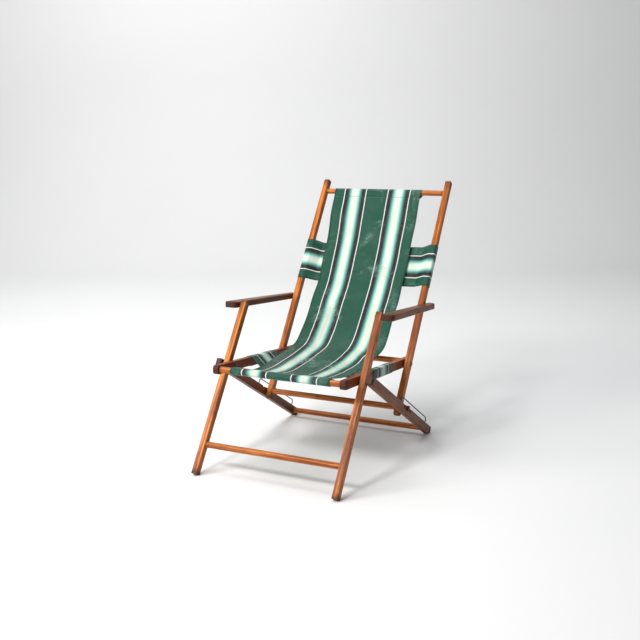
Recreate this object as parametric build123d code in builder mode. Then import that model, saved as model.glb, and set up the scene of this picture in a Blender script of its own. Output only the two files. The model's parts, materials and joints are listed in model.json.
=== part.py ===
from build123d import *
from math import asin, atan2, cos, degrees, radians, sin, tan
import os

# Folding deck chair: two parallel-sided timber frames that fold flat, with a hung canvas.
# Millimetres. +X is the sitter's left, the sitter faces -Y, +Z is up.
# Each side has three layers: seat rail (inner), front leg and back post (middle), and
# arm and rear leg (outer). The legs stay parallel to the posts, and the arms to the rails.

# ---- Stance -------------------------------------------------------------------------
side_spacing = 500.0          # between the middle layers of the two sides
lean_angle = 33.5             # legs and posts, back from upright
seat_angle = 4.7              # rails and arms, down towards the rear
post_setback = 398.0          # on the floor, from the leg's centreline to the post's
layer_gap = 3.0               # between neighbouring layers, filled by washers

# ---- Timber sections ----------------------------------------------------------------
leg_width = 21.0
leg_depth = 23.0
rail_width = 20.0
rail_height = 30.0
rear_leg_width = 20.0
rear_leg_height = 29.5
arm_thickness = 20.5
arm_front_width = 48.0
arm_rear_width = 30.0
arm_above_pivot = 2.5         # middle of the board over its pivots
edge_round = 2.2              # eased edges of every sawn stick
arm_edge_round = 3.5
arm_front_round = 14.0         # corners of the arms in plan
arm_rear_round = 16.0
arm_inner_round = 6.0

# ---- Stations along the sticks ------------------------------------------------------
leg_length = 615.0            # from the floor, along the centreline
front_stretcher_station = 106.0
seat_pivot_station = 383.0    # up the leg, from the floor
arm_rise = 217.0              # seat pivot to arm pivot, on legs and posts alike
post_start = 156.0            # up the post's line, from where that line meets the floor
post_end = 1070.0
lower_dowel_station = 186.0
top_dowel_station = 1022.0
band_start = 640.0            # back band, up the post's line
band_width = 163.0            # both bands are cut to one width
front_dowel_ahead = 93.0      # ahead of the seat pivot, along the rail
rail_nose = 17.0              # rail past the front dowel's centre
rear_dowel_behind = 42.0      # behind the post's centreline, along the rail
rail_tail = 16.0              # rail past the rear dowel's centre
seat_band_start = 102.0       # behind the seat pivot, along the rail
arm_overhang_front = 34.0     # arm ahead of its front pivot
arm_overhang_rear = 31.0
rear_leg_head = 20.0          # rear leg ahead of the seat pivot
rear_stretcher_station = 572.0
rear_leg_toe = 13.0           # rear leg past where its lower edge meets the floor
foot_flat_depth = 3.0         # corner planed off each front foot, measured up the leg

# ---- Round stock --------------------------------------------------------------------
dowel_radius = 10.2
stretcher_radius = 10.3
rear_stretcher_radius = 10.3
dowel_socket = 14.0           # blind hole for a dowel's end
socket_clearance = 0.05
end_clearance = 0.3

# ---- Notches and guard wires on the rear legs ---------------------------------------
notch_count = 3
notch_pitch = 30.0
used_notch = 1                # counted from the pivot, starting at nought
dowel_above_centreline = 8.0
dowel_end_radius = 9.0        # the dowel is turned down where it rests in a notch
dowel_end_proud = 6.0         # dowel beyond the rear leg's outer face
dowel_end_gap = 0.5           # between the post's face and the dowel's end piece
wire_radius = 1.9
wire_start = 275.0            # from the seat pivot, along the rear leg
wire_end = 560.0
wire_bend = 9.0
wire_depth = 11.0             # driven into the rear leg
wire_clearance = 1.0          # over the dowel as it slides

# ---- Fasteners ----------------------------------------------------------------------
bolt_radius = 3.0
pin_clearance = 0.05
head_radius = 7.0
head_height = 3.2
nut_across_flats = 10.0
nut_height = 5.0
bolt_past_nut = 2.0
turning_gap = 0.3             # between a head or nut and a piece that turns against it
washer_radius = 9.0
washer_thickness = 2.4
screw_length = 30.0           # pivot screw in the arm
nail_radius = 1.1
nail_head_radius = 2.2
nail_head_height = 0.9
nail_length = 17.0

# ---- Canvas -------------------------------------------------------------------------
canvas = 1.2                  # thickness of one layer
canvas_clearance = 0.35
sling_width = 350.0
sling_shift = -8.0            # the cloth sits a little to the sitter's right
sling_thickness = 1.6
back_lay = -4.0               # sling ahead of the post's centreline, so it lies behind it
back_band_lay = 10.0           # back band behind the post's centreline, behind the sling
bend_station = 550.0          # up the post's line, where the sling starts to leave the posts
bend_lay = 8.0
hollow_station = 467.0
hollow_lay = 20.0
turn_station = 395.0
turn_lay = 37.0
seat_rear_station = 280.0     # behind the seat pivot, where the seat turns up
seat_rear_rise = 23.0         # above the rail's centreline
seat_mid_station = 150.0
seat_mid_rise = 0.5
seat_low_station = 60.0
seat_low_rise = -5.5
seat_band_drop = 8.5          # band below the rail's centreline, under the sling
band_slope_run = 34.0         # width over which a band leaves its stick for the sling's level

# ---- Directions and key points on the side of the chair -----------------------------
lean = radians(lean_angle)
slope = radians(seat_angle)
up_post = Vector(0, sin(lean), cos(lean))
front_of_post = Vector(0, -cos(lean), sin(lean))
along_rail = Vector(0, cos(slope), -sin(slope))
above_rail = Vector(0, sin(slope), cos(slope))


def cross(a, b):
    """Area of the parallelogram of two vectors in the YZ plane, with its sign."""
    return a.Y * b.Z - a.Z * b.Y


top_round = 5.0
foot_station = leg_depth / 2 * tan(lean) - foot_flat_depth
front_reach = foot_station * sin(lean) - leg_depth / 2 * cos(lean)
rear_reach = (post_setback + (post_end - top_round) * sin(lean)
              + (leg_depth / 2 - top_round) * cos(lean) + top_round)
leg_foot = Vector(0, -(front_reach + rear_reach) / 2, 0)
post_foot = leg_foot + Vector(0, post_setback, 0)

seat_pivot = leg_foot + up_post * seat_pivot_station
gap_to_post = post_foot - seat_pivot
post_pivot_distance = cross(gap_to_post, up_post) / cross(along_rail, up_post)
post_pivot_station = cross(gap_to_post, along_rail) / cross(along_rail, up_post)
post_pivot = post_foot + up_post * post_pivot_station
arm_front_pivot = seat_pivot + up_post * arm_rise
arm_rear_pivot = post_pivot + up_post * arm_rise
top_dowel_point = post_foot + up_post * top_dowel_station
lower_dowel_point = post_foot + up_post * lower_dowel_station
front_dowel_point = seat_pivot - along_rail * front_dowel_ahead
rear_dowel_point = post_pivot + along_rail * rear_dowel_behind
front_stretcher_point = leg_foot + up_post * front_stretcher_station

to_dowel = lower_dowel_point - seat_pivot
rear_slope = (atan2(-to_dowel.Z, to_dowel.Y)
              + asin(dowel_above_centreline / to_dowel.length))
along_rear_leg = Vector(0, cos(rear_slope), -sin(rear_slope))
above_rear_leg = Vector(0, sin(rear_slope), cos(rear_slope))
dowel_station_on_leg = to_dowel.dot(along_rear_leg)
floor_station = (seat_pivot.Z - rear_leg_height / 2 * cos(rear_slope)) / sin(rear_slope)
rear_stretcher_point = seat_pivot + along_rear_leg * rear_stretcher_station

# ---- Layers, measured out from the middle of the chair ------------------------------
leg_inner = side_spacing / 2 - leg_width / 2
leg_outer = side_spacing / 2 + leg_width / 2
rail_outer = leg_inner - layer_gap
rail_inner = rail_outer - rail_width
outer_layer = leg_outer + layer_gap
rear_leg_outer = outer_layer + rear_leg_width

sides = {"left": 1, "right": -1}
os.makedirs("parts", exist_ok=True)


def save(builder, name):
    """Label a finished piece and write it as its own STEP file."""
    builder.part.label = name
    export_step(builder.part, "parts/" + name + ".step")


def side_plane(x, point, along):
    """A plane facing +X at x, whose own X runs along a stick through the point."""
    return Plane(origin=(x, point.Y, point.Z), x_dir=along, z_dir=(1, 0, 0))


def across_plane(point, along):
    """A plane square to a stick, with its own X along the chair's X."""
    return Plane(origin=(0, point.Y, point.Z), x_dir=(1, 0, 0), z_dir=along)


def bar_outline(start, end, height, start_round, end_round):
    """A rectangle from start to end, with the corners at each end rounded."""
    with BuildSketch() as outline:
        with Locations(((start + end) / 2, 0)):
            Rectangle(end - start, height)
        fillet(outline.vertices().group_by(Axis.X)[0], start_round)
        fillet(outline.vertices().group_by(Axis.X)[-1], end_round)
    return outline.sketch


def foot_outline():
    """The front leg from the side: square foot with its rear corner planed to the floor."""
    half = leg_depth / 2
    with BuildSketch() as outline:
        with BuildLine():
            Polyline((foot_station, half), (foot_station, -foot_station / tan(lean)),
                     (half * tan(lean), -half), (leg_length, -half),
                     (leg_length, half), close=True)
        make_face()
        fillet(outline.vertices().group_by(Axis.X)[-1], top_round)
    return outline.sketch


def rear_leg_outline():
    """The rear leg from the side: square head, and a toe planed to the floor."""
    half = rear_leg_height / 2
    toe = floor_station + rear_leg_toe
    with BuildSketch() as outline:
        with BuildLine():
            Polyline((-rear_leg_head, -half), (floor_station, -half),
                     (toe, -half + rear_leg_toe * tan(rear_slope)), (toe, half),
                     (-rear_leg_head, half), close=True)
        make_face()
        fillet(outline.vertices().group_by(Axis.X)[-1].sort_by(Axis.Y)[-1], 7)
        fillet(outline.vertices().group_by(Axis.X)[0], 4)
    return outline.sketch


def nail_plane(x, point, normal, half_depth):
    """Where a nail starts: on the face of a stick, pointing in through a dowel's centre."""
    head = point + normal * half_depth
    return Plane(origin=(x, head.Y, head.Z), x_dir=(1, 0, 0), z_dir=-normal)


def nail(plane, clearance=0.0):
    """A nail with its head flush with the surface, or with clearance, the hole for one."""
    with BuildPart() as body:
        with BuildSketch(plane):
            Circle(nail_head_radius + clearance)
        extrude(amount=nail_head_height + clearance)
        with BuildSketch(plane):
            Circle(nail_radius + clearance)
        extrude(amount=nail_length + clearance)
    return body.part


nail_inset = dowel_socket / 2
leg_nail_x = leg_inner + nail_inset
rail_nail_x = rail_inner + nail_inset
rear_nail_x = outer_layer + nail_inset


def leg_nail(side, point):
    """The nail through the back face of a leg or post into a dowel."""
    return nail_plane(side * leg_nail_x, point, -front_of_post, leg_depth / 2)


def rail_nail(side, point):
    """The nail up through the lower edge of a rail into a dowel."""
    return nail_plane(side * rail_nail_x, point, -above_rail, rail_height / 2)


def rear_leg_nail(side, point):
    """The nail up through the lower edge of a rear leg into its stretcher."""
    return nail_plane(side * rear_nail_x, point, -above_rear_leg, rear_leg_height / 2)


# ---- Back frame: two posts and two dowels -------------------------------------------
for name, side in sides.items():
    outline = bar_outline(post_start, post_end, leg_depth, leg_depth / 2 - 0.01, top_round)
    inner_face = side_plane(side * leg_inner, post_foot, up_post)
    with BuildPart() as post:
        with BuildSketch(inner_face):
            add(outline)
        extrude(amount=side * leg_width)
        fillet(post.faces().filter_by(Axis.X).edges(), edge_round)
        with BuildSketch(inner_face):
            with Locations((post_pivot_station, 0), (post_pivot_station + arm_rise, 0)):
                Circle(bolt_radius + pin_clearance)
            with Locations((lower_dowel_station, 0)):
                Circle(dowel_radius + socket_clearance)
        extrude(amount=side * leg_width, mode=Mode.SUBTRACT)
        with BuildSketch(inner_face):
            with Locations((top_dowel_station, 0)):
                Circle(dowel_radius + socket_clearance)
        extrude(amount=side * dowel_socket, mode=Mode.SUBTRACT)
        add(nail(leg_nail(side, top_dowel_point), pin_clearance), mode=Mode.SUBTRACT)
        add(nail(leg_nail(side, lower_dowel_point), pin_clearance), mode=Mode.SUBTRACT)
    save(post, name + "_back_post")


def dowel(point, reach, radius, nails):
    """A dowel across the chair, out to the reach on both sides, with its nail holes."""
    with BuildPart() as rod:
        with BuildSketch(Plane(origin=(-reach, point.Y, point.Z), z_dir=(1, 0, 0))):
            Circle(radius)
        extrude(amount=2 * reach)
        chamfer(rod.edges(), 0.6)
        for plane in nails:
            add(nail(plane, pin_clearance), mode=Mode.SUBTRACT)
    return rod


def both(nail, point):
    """One nail for each side of the chair."""
    return [nail(side, point) for side in sides.values()]


leg_reach = leg_inner + dowel_socket - end_clearance
rail_reach = rail_inner + dowel_socket - end_clearance
rear_reach_out = outer_layer + dowel_socket - end_clearance
save(dowel(top_dowel_point, leg_reach, dowel_radius, both(leg_nail, top_dowel_point)),
     "top_dowel")
save(dowel(lower_dowel_point, leg_outer, dowel_radius, both(leg_nail, lower_dowel_point)),
     "lower_dowel")

# ---- Seat frame: two rails and two dowels -------------------------------------------
rail_front = -(front_dowel_ahead + rail_nose)
rail_rear = post_pivot_distance + rear_dowel_behind + rail_tail
for name, side in sides.items():
    outline = bar_outline(rail_front, rail_rear, rail_height, 11, 11)
    inner_face = side_plane(side * rail_inner, seat_pivot, along_rail)
    with BuildPart() as rail:
        with BuildSketch(inner_face):
            add(outline)
        extrude(amount=side * rail_width)
        fillet(rail.faces().filter_by(Axis.X).edges(), edge_round)
        with BuildSketch(inner_face):
            with Locations((0, 0), (post_pivot_distance, 0)):
                Circle(bolt_radius + pin_clearance)
        extrude(amount=side * rail_width, mode=Mode.SUBTRACT)
        with BuildSketch(inner_face):
            with Locations((-front_dowel_ahead, 0),
                           (post_pivot_distance + rear_dowel_behind, 0)):
                Circle(dowel_radius + socket_clearance)
        extrude(amount=side * dowel_socket, mode=Mode.SUBTRACT)
        add(nail(rail_nail(side, front_dowel_point), pin_clearance), mode=Mode.SUBTRACT)
        add(nail(rail_nail(side, rear_dowel_point), pin_clearance), mode=Mode.SUBTRACT)
    save(rail, name + "_seat_rail")

save(dowel(front_dowel_point, rail_reach, dowel_radius, both(rail_nail, front_dowel_point)),
     "front_dowel")
save(dowel(rear_dowel_point, rail_reach, dowel_radius, both(rail_nail, rear_dowel_point)),
     "rear_dowel")

# ---- Front legs and their stretcher -------------------------------------------------
for name, side in sides.items():
    outline = foot_outline()
    inner_face = side_plane(side * leg_inner, leg_foot, up_post)
    with BuildPart() as leg:
        with BuildSketch(inner_face):
            add(outline)
        extrude(amount=side * leg_width)
        fillet(leg.faces().filter_by(Axis.X).edges(), edge_round)
        with BuildSketch(inner_face):
            with Locations((seat_pivot_station, 0), (seat_pivot_station + arm_rise, 0)):
                Circle(bolt_radius + pin_clearance)
        extrude(amount=side * leg_width, mode=Mode.SUBTRACT)
        with BuildSketch(inner_face):
            with Locations((front_stretcher_station, 0)):
                Circle(stretcher_radius + socket_clearance)
        extrude(amount=side * dowel_socket, mode=Mode.SUBTRACT)
        add(nail(leg_nail(side, front_stretcher_point), pin_clearance), mode=Mode.SUBTRACT)
    save(leg, name + "_front_leg")

save(dowel(front_stretcher_point, leg_reach, stretcher_radius,
           both(leg_nail, front_stretcher_point)), "front_stretcher")

# ---- Rear legs: notched upper edge, stretcher, guard wires and dowel ends -----------
notch_stations = [dowel_station_on_leg + (i - used_notch) * notch_pitch
                  for i in range(notch_count)]
notch_radius = dowel_end_radius + socket_clearance
upper_edge = rear_leg_height / 2
wire_level = upper_edge + 2 * dowel_end_radius + wire_clearance + wire_radius
wire_x = outer_layer + rear_leg_width / 2

for name, side in sides.items():
    outline = rear_leg_outline()
    inner_face = side_plane(side * outer_layer, seat_pivot, along_rear_leg)
    with BuildPart() as rear_leg:
        with BuildSketch(inner_face):
            add(outline)
        extrude(amount=side * rear_leg_width)
        fillet(rear_leg.faces().filter_by(Axis.X).edges(), edge_round)
        with BuildSketch(inner_face):
            Circle(bolt_radius + pin_clearance)
            for station in notch_stations:
                with Locations((station, dowel_above_centreline)):
                    Circle(notch_radius)
                mouth = upper_edge - dowel_above_centreline + 1
                with Locations((station, dowel_above_centreline + mouth / 2)):
                    Rectangle(2 * notch_radius, mouth)
        extrude(amount=side * rear_leg_width, mode=Mode.SUBTRACT)
        with BuildSketch(inner_face):
            with Locations((rear_stretcher_station, 0)):
                Circle(rear_stretcher_radius + socket_clearance)
        extrude(amount=side * dowel_socket, mode=Mode.SUBTRACT)
        wire_holes = [seat_pivot + along_rear_leg * station + above_rear_leg * upper_edge
                      for station in (wire_start, wire_end)]
        for hole in wire_holes:
            with BuildSketch(Plane(origin=(side * wire_x, hole.Y, hole.Z),
                                   x_dir=(1, 0, 0), z_dir=-above_rear_leg)):
                Circle(wire_radius + socket_clearance)
            extrude(amount=wire_depth + end_clearance, mode=Mode.SUBTRACT)
        add(nail(rear_leg_nail(side, rear_stretcher_point), pin_clearance), mode=Mode.SUBTRACT)
    save(rear_leg, name + "_rear_leg")

    wire_plane = side_plane(side * wire_x, seat_pivot, along_rear_leg)
    wire_bottom = upper_edge - wire_depth
    with BuildPart() as wire:
        with BuildLine(wire_plane) as path:
            FilletPolyline((wire_start, wire_bottom), (wire_start, wire_level),
                           (wire_end, wire_level), (wire_end, wire_bottom),
                           radius=wire_bend)
        with BuildSketch(Plane(origin=path.line @ 0, z_dir=path.line % 0)):
            Circle(wire_radius)
        sweep()
    save(wire, name + "_guard_wire")

    end_start = side * (leg_outer + dowel_end_gap)
    end_length = rear_leg_outer + dowel_end_proud - leg_outer - dowel_end_gap
    with BuildPart() as dowel_end:
        with BuildSketch(side_plane(end_start, lower_dowel_point, up_post)):
            Circle(dowel_end_radius)
        extrude(amount=side * end_length)
        outer_rim = dowel_end.faces().sort_by(Axis.X)[-1 if side > 0 else 0]
        fillet(outer_rim.edges(), 1.5)
    save(dowel_end, name + "_dowel_end")

save(dowel(rear_stretcher_point, rear_reach_out, rear_stretcher_radius,
           both(rear_leg_nail, rear_stretcher_point)), "rear_stretcher")

# ---- Arms ---------------------------------------------------------------------------
arm_length = arm_overhang_front + post_pivot_distance + arm_overhang_rear
for name, side in sides.items():
    middle = arm_front_pivot + above_rail * arm_above_pivot
    arm_face = Plane(origin=(side * outer_layer, middle.Y, middle.Z),
                     x_dir=along_rail, z_dir=above_rail)
    outward = -side
    front_end = -arm_overhang_front
    rear_end = arm_length - arm_overhang_front
    with BuildPart() as arm:
        with BuildSketch(arm_face) as plan:
            with BuildLine():
                Polyline((front_end, 0), (rear_end, 0), (rear_end, outward * arm_rear_width),
                         (front_end, outward * arm_front_width), close=True)
            make_face()
            front_corners = plan.vertices().group_by(Axis.X)[0]
            fillet(front_corners, arm_front_round)
            rear_corners = plan.vertices().group_by(Axis.X)[-1].sort_by(lambda v: abs(v.Y))
            fillet(rear_corners[-1], arm_rear_round)
            fillet(rear_corners[0], arm_inner_round)
        extrude(amount=arm_thickness / 2, both=True)
        broad_faces = arm.faces().filter_by(lambda f: abs(f.normal_at().dot(above_rail)) > 0.99)
        fillet(broad_faces.edges(), arm_edge_round)
        with BuildSketch(side_plane(side * outer_layer, arm_front_pivot, along_rail)):
            with Locations((0, 0), (post_pivot_distance, 0)):
                Circle(bolt_radius + pin_clearance)
        extrude(amount=side * (screw_length + end_clearance), mode=Mode.SUBTRACT)
    save(arm, name + "_arm")

# ---- Pivot bolts with their nuts, pivot screws and washers --------------------------


def pivot_bolt(side, point, outer, inner):
    """A domed bolt from the outer face to the inner face, long enough for its nut."""
    length = outer - inner + nut_height + bolt_past_nut
    head = Plane(origin=(side * outer, point.Y, point.Z), z_dir=(side, 0, 0))
    with BuildPart() as bolt:
        with BuildSketch(head):
            Circle(head_radius)
        extrude(amount=head_height)
        rim = bolt.edges().sort_by(Axis.X)[-1 if side > 0 else 0]
        fillet(rim, head_height * 0.8)
        with BuildSketch(head):
            Circle(bolt_radius)
        extrude(amount=-length)
    return bolt


nut_face = rail_inner - turning_gap
for name, side in sides.items():
    seat_head = rear_leg_outer + turning_gap
    save(pivot_bolt(side, seat_pivot, seat_head, nut_face), name + "_seat_pivot_bolt")
    save(pivot_bolt(side, post_pivot, leg_outer, nut_face), name + "_post_pivot_bolt")

nut_points = {"seat_pivot_nuts": seat_pivot, "post_pivot_nuts": post_pivot}
for name, point in nut_points.items():
    with BuildPart() as nuts:
        for side in sides.values():
            with BuildSketch(Plane(origin=(side * nut_face, point.Y, point.Z),
                                   x_dir=(0, 0, 1), z_dir=(-side, 0, 0))):
                RegularPolygon(nut_across_flats / 2, 6, major_radius=False)
                Circle(bolt_radius + pin_clearance, mode=Mode.SUBTRACT)
            extrude(amount=nut_height)
    save(nuts, name)

screw_points = {"arm_front_screws": arm_front_pivot, "arm_rear_screws": arm_rear_pivot}
for name, point in screw_points.items():
    with BuildPart() as screws:
        for side in sides.values():
            head = Plane(origin=(side * leg_inner, point.Y, point.Z), z_dir=(-side, 0, 0))
            with BuildSketch(head):
                Circle(head_radius)
            extrude(amount=head_height, taper=25)
            with BuildSketch(head):
                Circle(bolt_radius)
            extrude(amount=-(outer_layer - leg_inner + screw_length))
    save(screws, name)

washer_gaps = {
    "leg_washers": [(seat_pivot, leg_outer), (seat_pivot, rail_outer),
                    (arm_front_pivot, leg_outer)],
    "post_washers": [(post_pivot, rail_outer), (arm_rear_pivot, leg_outer)],
}
for name, places in washer_gaps.items():
    with BuildPart() as washers:
        for side in sides.values():
            for point, gap_inner in places:
                x = side * (gap_inner + (layer_gap - washer_thickness) / 2)
                with BuildSketch(Plane(origin=(x, point.Y, point.Z), z_dir=(side, 0, 0))):
                    Circle(washer_radius)
                    Circle(bolt_radius + pin_clearance, mode=Mode.SUBTRACT)
                extrude(amount=washer_thickness)
    save(washers, name)

# ---- Nails that hold the dowels -----------------------------------------------------
nail_groups = {
    "post_nails": both(leg_nail, top_dowel_point) + both(leg_nail, lower_dowel_point),
    "rail_nails": both(rail_nail, front_dowel_point) + both(rail_nail, rear_dowel_point),
    "leg_nails": both(leg_nail, front_stretcher_point),
    "rear_leg_nails": both(rear_leg_nail, rear_stretcher_point),
}
for name, planes in nail_groups.items():
    with BuildPart() as nails:
        for plane in planes:
            add(nail(plane))
    save(nails, name)

# ---- Sling: one hung sheet with a sewn sleeve round the top and front dowels --------
sleeve_inner = dowel_radius + canvas_clearance
sleeve_middle = sleeve_inner + sling_thickness / 2


def on_post(station, lay):
    """A point of the sling's side view, by its place up the post and its lay ahead of it."""
    point = post_foot + up_post * station + front_of_post * lay
    return point.Y, point.Z


def on_rail(station, rise):
    """A point of the sling's side view, by its place along the rail and its rise over it."""
    point = seat_pivot + along_rail * station + above_rail * rise
    return point.Y, point.Z


sling_course = [
    on_post(top_dowel_station, sleeve_middle),
    on_post(band_start + band_width, back_lay),
    on_post(band_start + band_width / 2, back_lay - 1),
    on_post(band_start, back_lay),
    on_post(bend_station, bend_lay),
    on_post(hollow_station, hollow_lay),
    on_post(turn_station, turn_lay),
    on_rail(seat_rear_station, seat_rear_rise),
    on_rail(seat_mid_station, seat_mid_rise),
    on_rail(seat_low_station, seat_low_rise),
    on_rail(-front_dowel_ahead, sleeve_middle),
]
sling_edge = sling_shift - sling_width / 2
side_view = Plane(origin=(sling_edge, 0, 0), x_dir=(0, 1, 0), z_dir=(1, 0, 0))
with BuildPart() as sling:
    with BuildSketch(side_view):
        with BuildLine() as course:
            Spline(*sling_course,
                   tangents=[(-up_post.Y, -up_post.Z), (-along_rail.Y, -along_rail.Z)])
        trace(course.line, line_width=sling_thickness)
        for point in (top_dowel_point, front_dowel_point):
            with Locations((point.Y, point.Z)):
                Circle(sleeve_inner + sling_thickness)
        for point in (top_dowel_point, front_dowel_point):
            with Locations((point.Y, point.Z)):
                Circle(sleeve_inner, mode=Mode.SUBTRACT)
    extrude(amount=sling_width)
save(sling, "sling")

# ---- Bands: a width of canvas behind or under the sling, sewn round both sticks -----
def sleeves(x, width, height, grow):
    """The outlines, on both sides, of a sleeve's outer or inner face round a stick."""
    with BuildSketch() as outline:
        with Locations((x, 0), (-x, 0)):
            RectangleRounded(width + 2 * grow, height + 2 * grow, edge_round + grow)
    return outline.sketch


def hang(edge, level, low, inward):
    """A band, cut across: on its sticks at one level, and at another between them."""
    low_edge = edge - band_slope_run
    with BuildLine() as line:
        Polyline((-edge - inward, level), (-edge + 1, level), (-low_edge, low),
                 (low_edge, low), (edge - 1, level), (edge + inward, level))
    with BuildSketch() as strip:
        trace(line.line, line_width=canvas)
    return strip.sketch


post_sleeve = sleeves(side_spacing / 2, leg_width, leg_depth, canvas_clearance + canvas)
post_hollow = sleeves(side_spacing / 2, leg_width, leg_depth, canvas_clearance)
post_level = leg_depth / 2 + canvas_clearance + canvas / 2
back_strip = hang(leg_inner, -post_level, back_band_lay, 4)
with BuildPart() as back_band:
    with BuildSketch(across_plane(post_foot + up_post * band_start, up_post)):
        add(back_strip)
        add(post_sleeve)
        add(post_hollow, mode=Mode.SUBTRACT)
    extrude(amount=band_width)
save(back_band, "back_band")

rail_centre = (rail_inner + rail_outer) / 2
rail_sleeve = sleeves(rail_centre, rail_width, rail_height, canvas_clearance + canvas)
rail_hollow = sleeves(rail_centre, rail_width, rail_height, canvas_clearance)
rail_level = rail_height / 2 + canvas_clearance + canvas / 2
seat_strip = hang(rail_inner, -rail_level, seat_band_drop, 4)
with BuildPart() as seat_band:
    with BuildSketch(across_plane(seat_pivot + along_rail * seat_band_start, along_rail)):
        add(seat_strip)
        add(rail_sleeve)
        add(rail_hollow, mode=Mode.SUBTRACT)
    extrude(amount=band_width)
save(seat_band, "seat_band")

print("leg foot at y", round(leg_foot.Y, 2))
print("rear leg slope", round(degrees(rear_slope), 2), "deg; posts pivot",
      round(post_pivot_distance, 1), "mm behind the seat pivot")
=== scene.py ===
# %% [markdown]
# # A folding deck chair in varnished timber and striped canvas
#
# The timber frame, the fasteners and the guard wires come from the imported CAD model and
# keep their shapes. This lesson gives them worn varnish and dull steel, and makes the three
# canvas pieces, which are the long sling and the two bands, as real sheets of cloth.

import json
import math

import bpy
import numpy as np
from mathutils import Matrix, Vector


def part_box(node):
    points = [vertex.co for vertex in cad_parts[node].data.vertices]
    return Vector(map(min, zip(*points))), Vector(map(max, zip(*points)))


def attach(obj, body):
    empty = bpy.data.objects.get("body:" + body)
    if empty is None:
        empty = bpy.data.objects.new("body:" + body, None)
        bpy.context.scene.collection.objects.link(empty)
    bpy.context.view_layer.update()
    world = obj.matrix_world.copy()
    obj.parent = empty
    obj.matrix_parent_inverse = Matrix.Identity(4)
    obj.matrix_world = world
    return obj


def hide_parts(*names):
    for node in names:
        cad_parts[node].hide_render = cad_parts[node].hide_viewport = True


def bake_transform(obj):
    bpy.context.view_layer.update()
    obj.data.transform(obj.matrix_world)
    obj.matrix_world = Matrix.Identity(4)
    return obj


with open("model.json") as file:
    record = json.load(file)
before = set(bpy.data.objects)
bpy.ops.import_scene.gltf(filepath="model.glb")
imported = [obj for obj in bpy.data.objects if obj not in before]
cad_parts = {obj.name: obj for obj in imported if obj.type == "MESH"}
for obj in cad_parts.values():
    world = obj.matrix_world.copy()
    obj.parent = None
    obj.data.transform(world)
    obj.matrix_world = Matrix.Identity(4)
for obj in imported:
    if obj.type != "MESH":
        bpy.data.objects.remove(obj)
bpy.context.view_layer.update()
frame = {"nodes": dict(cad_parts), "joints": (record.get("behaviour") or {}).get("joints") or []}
nodes = frame["nodes"]

# %% [markdown]
# ## Directions and key points
#
# The chair is two frames of parallel sticks. One direction runs up the legs and the posts,
# and one runs back along the rails and the arms. Both follow from the pivots in the record,
# so the cloth can be laid out in the same terms as the timber: so far down the post, so far
# behind the front dowel. All points of the side view are (y, z) in metres.

# %% Directions from the pivots
pivots = {joint["name"]: np.array(joint["pos_m"][1:]) for joint in frame["joints"]}


def unit(vector):
    """The vector divided by its own length."""
    return vector / np.linalg.norm(vector)


def centre_of(node):
    """The middle of a node's box in the side view, (y, z)."""
    low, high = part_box(node)
    middle = (low + high) / 2
    return np.array([middle.y, middle.z])


along_rail = unit(pivots["seat_fold"] - pivots["front_leg_fold"])
above_rail = np.array([-along_rail[1], along_rail[0]])
up_post = unit(pivots["left_arm_fold"] - pivots["seat_fold"])
front_of_post = np.array([-up_post[1], up_post[0]])
top_dowel = centre_of("top_dowel")
front_dowel = centre_of("front_dowel")
print("lean", round(math.degrees(math.atan2(up_post[0], up_post[1])), 1), "degrees")


def on_post(down, lay):
    """A point so far down the post from the top dowel, and so far ahead of the post."""
    return top_dowel - up_post * down + front_of_post * lay


def on_rail(behind, rise):
    """A point so far behind the front dowel, and so far above the rail's middle."""
    return front_dowel + along_rail * behind + above_rail * rise


# %% [markdown]
# ## Camera and studio
#
# The chair stands in a pale, seamless studio. Floor and wall are one swept surface, a flat
# floor that turns up into a wall through a wide cove, so that no line shows behind the
# chair. A large soft lamp on the sitter's right lights the faces of the sticks and leaves
# their other sides in soft shade. A small lamp ahead of the chair gives the glazed canvas
# its sheen, and two lamps above fill the floor and the wall.

# %% Camera
CAMERA_PLACE = Vector((1.3819, -2.8349, 1.0718))
CAMERA_YAW, CAMERA_PITCH, CAMERA_ROLL = 0.4659, -0.1977, -0.0095
camera_data = bpy.data.cameras.new("camera")
camera_data.sensor_width = 36
camera_data.lens = 52.17
camera = bpy.data.objects.new("camera", camera_data)
bpy.context.scene.collection.objects.link(camera)
forward = Vector((-math.sin(CAMERA_YAW) * math.cos(CAMERA_PITCH),
                  math.cos(CAMERA_YAW) * math.cos(CAMERA_PITCH), math.sin(CAMERA_PITCH)))
level_right = Vector((math.cos(CAMERA_YAW), math.sin(CAMERA_YAW), 0))
level_up = level_right.cross(forward)
right = math.cos(CAMERA_ROLL) * level_right + math.sin(CAMERA_ROLL) * level_up
up = -math.sin(CAMERA_ROLL) * level_right + math.cos(CAMERA_ROLL) * level_up
turn = Matrix((right, up, -forward)).transposed()
camera.matrix_world = Matrix.Translation(CAMERA_PLACE) @ turn.to_4x4()
bpy.context.scene.camera = camera
print("camera", [round(v, 3) for v in camera.location])

# %% [markdown]
# ### A mesh from a grid
#
# Every new piece here is a grid of points: rows along the cloth and columns across it.
# Neighbouring points make quads, and each point keeps its place on the flat cloth as a UV
# in metres, so that stripes and weave stay true however the cloth hangs.

# %% Grid to mesh


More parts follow.
